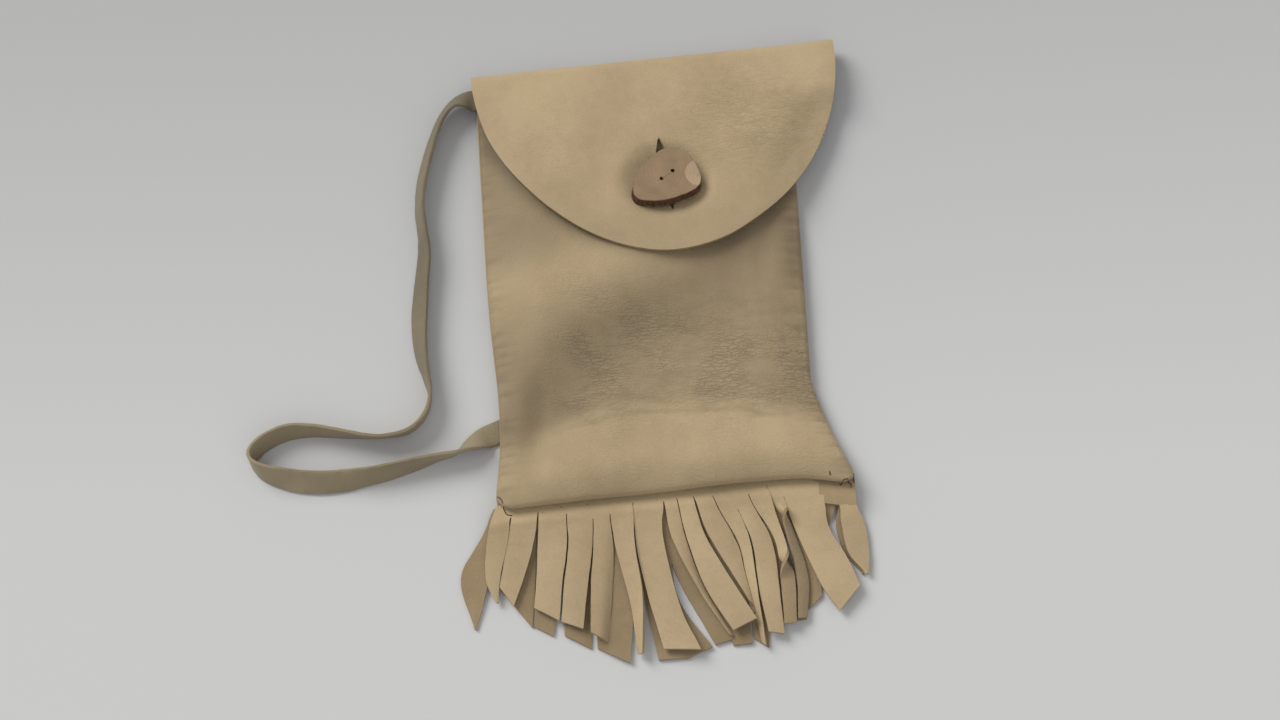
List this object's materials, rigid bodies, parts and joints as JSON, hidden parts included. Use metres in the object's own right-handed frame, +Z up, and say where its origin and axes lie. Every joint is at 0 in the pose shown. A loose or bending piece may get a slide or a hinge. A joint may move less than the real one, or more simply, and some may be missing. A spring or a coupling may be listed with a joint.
{
  "type": "buckskin medicine pouch",
  "caption": "Flat buckskin pouch lying on its back, with a rounded buttoned flap, a layered fringe along its foot and a flat thong strap.",
  "frame": {"origin": "middle of the pouch's box in plan, strap left out, on the surface it lies on", "axes": "+Y towards the fold of the flap, +X to the right seen from the front, +Z up out of the front"},
  "size_m": [0.2539, 0.2825, 0.0191],
  "materials": {
    "buckskin": "soft smoked buckskin, grain side, matte with fine creases",
    "buckskin_flesh": "same hide, darker suede side and cut edges",
    "thong": "greyer flat leather thong, matte",
    "wood": "sanded slice of a branch, satin, darker bark edge",
    "thread": "dark red-brown waxed thread"
  },
  "bodies": {
    "root": {"back_and_flap": "buckskin", "front_panel": "buckskin", "front_fringe": "buckskin", "back_fringe": "buckskin_flesh", "strap": "thong", "button": "wood", "button_thread": "thread"}
  },
  "joints": []
}
